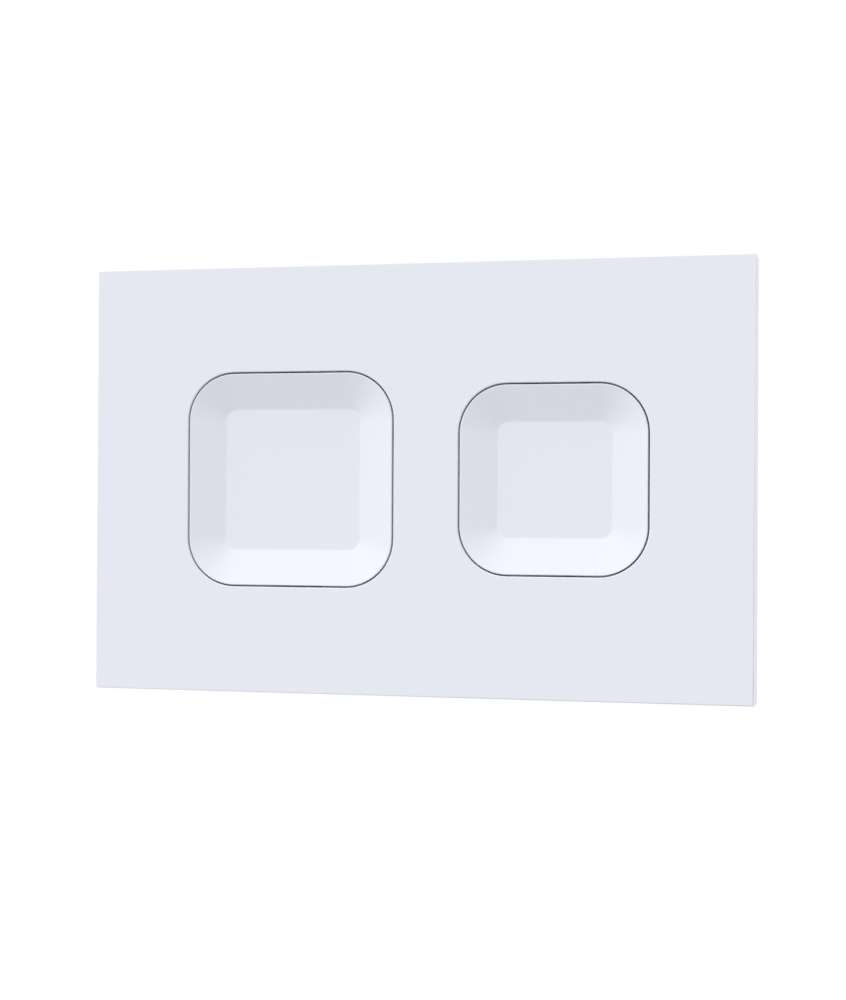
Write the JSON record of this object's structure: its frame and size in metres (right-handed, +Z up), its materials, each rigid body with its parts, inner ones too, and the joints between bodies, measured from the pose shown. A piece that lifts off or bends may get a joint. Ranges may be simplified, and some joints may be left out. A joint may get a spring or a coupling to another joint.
{
  "type": "flush button plate",
  "caption": "Rectangular white wall plate with a larger and a smaller dished, rounded-square push button, sprung behind the face, that work a concealed cistern's flush valve by push rods.",
  "frame": {"origin": "on the wall plane, midway between the two fixing studs and behind the middle of the plate", "axes": "+X to the right as the user faces the plate, +Y into the wall and the way a button is pressed, +Z up"},
  "size_m": [0.25, 0.072, 0.16],
  "materials": {
    "white_plastic": "satin gloss white moulding",
    "inner_plastic": "plain pale grey moulding",
    "frame_plastic": "plain grey moulding",
    "rod_plastic": "black moulded thread",
    "rubber": "soft black",
    "spring_steel": "bright drawn wire",
    "zinc_steel": "bright zinc plate"
  },
  "bodies": {
    "housing": {"front_plate": "white_plastic", "button_carrier": "inner_plastic", "carrier_screws": "zinc_steel", "full_flush_spring": "spring_steel", "half_flush_spring": "spring_steel", "full_flush_stop_pads": "rubber", "half_flush_stop_pads": "rubber", "mounting_frame": "frame_plastic", "fixing_studs": "zinc_steel", "fixing_washers": "zinc_steel", "fixing_nuts": "zinc_steel"},
    "full_flush": {"full_flush_button": "white_plastic", "full_flush_push_rod": "rod_plastic", "full_flush_lock_nut": "rod_plastic"},
    "half_flush": {"half_flush_button": "white_plastic", "half_flush_push_rod": "rod_plastic", "half_flush_lock_nut": "rod_plastic"}
  },
  "joints": [
    {"name": "full_flush_press", "type": "slide", "parent": "housing", "child": "full_flush", "axis": [0, 1, 0], "range_m": [0, 0.005], "stiffness_N_per_m": 1600, "springref_m": -0.004, "deforming": ["full_flush_spring"]},
    {"name": "half_flush_press", "type": "slide", "parent": "housing", "child": "half_flush", "axis": [0, 1, 0], "range_m": [0, 0.005], "stiffness_N_per_m": 1600, "springref_m": -0.004, "deforming": ["half_flush_spring"]}
  ]
}
